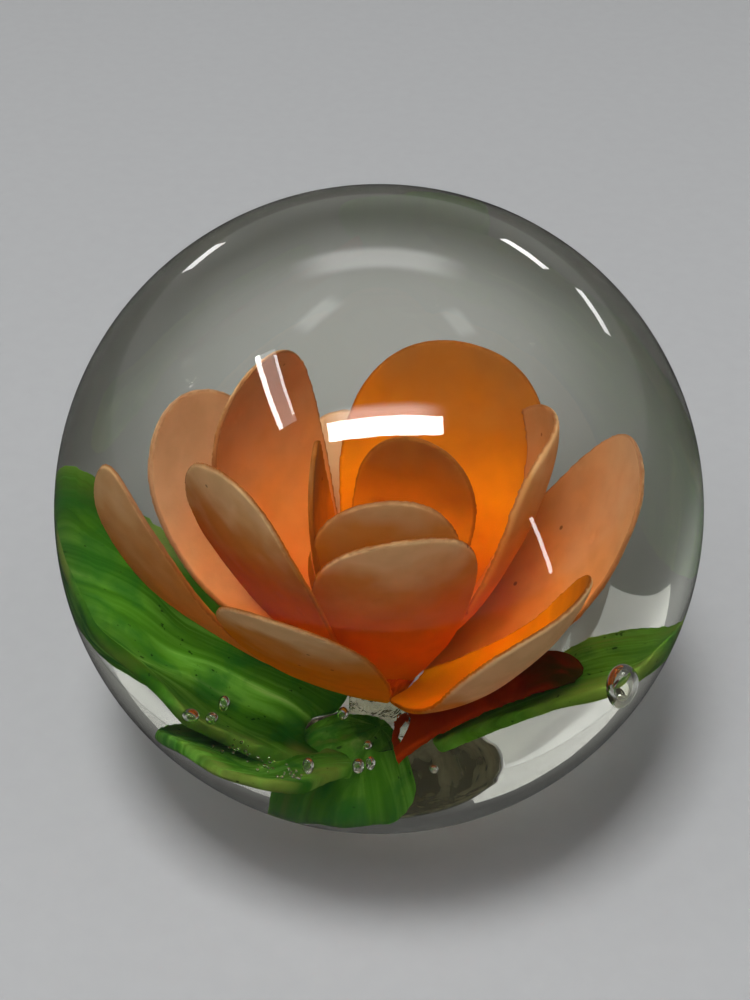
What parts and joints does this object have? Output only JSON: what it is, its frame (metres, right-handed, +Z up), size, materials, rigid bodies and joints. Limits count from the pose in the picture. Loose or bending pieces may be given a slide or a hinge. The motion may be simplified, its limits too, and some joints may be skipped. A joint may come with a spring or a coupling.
{
  "type": "paperweight",
  "caption": "Clear glass ball paperweight with a flat foot and an open peach flower on green leaves sealed inside.",
  "frame": {"origin": "centre of the flat foot, on the surface it rests on", "axes": "+Z up through the ball, -Y the side the flower is looked at from, +X to the right of that view"},
  "size_m": [0.08, 0.08, 0.074],
  "materials": {
    "clear_glass": "polished clear glass, very slightly grey-green, with a few air bubbles",
    "petal_glass": "translucent peach to orange lampwork glass, satin inside the ball, thin brown margin",
    "bud_glass": "deep orange lampwork glass",
    "leaf_glass": "streaky translucent green lampwork glass",
    "stem_glass": "nearly clear glass rod with faint colour"
  },
  "bodies": {
    "root": {"glass_casing": "clear_glass", "glass_base": "clear_glass", "flower_core": "bud_glass", "leaf_hub": "leaf_glass", "flower_stem": "stem_glass", "inner_petal_back": "petal_glass", "inner_petal_left": "petal_glass", "inner_petal_front": "petal_glass", "middle_petal_back_right": "petal_glass", "middle_petal_back_left": "petal_glass", "middle_petal_left": "petal_glass", "middle_petal_front": "petal_glass", "middle_petal_right": "petal_glass", "outer_petal_back_left": "petal_glass", "outer_petal_left": "petal_glass", "outer_petal_front_left": "petal_glass", "outer_petal_front_right": "petal_glass", "outer_petal_right": "petal_glass", "outer_petal_back": "petal_glass", "trailing_petal": "bud_glass", "leaf_left": "leaf_glass", "leaf_right": "leaf_glass", "leaf_front": "leaf_glass"}
  },
  "joints": []
}
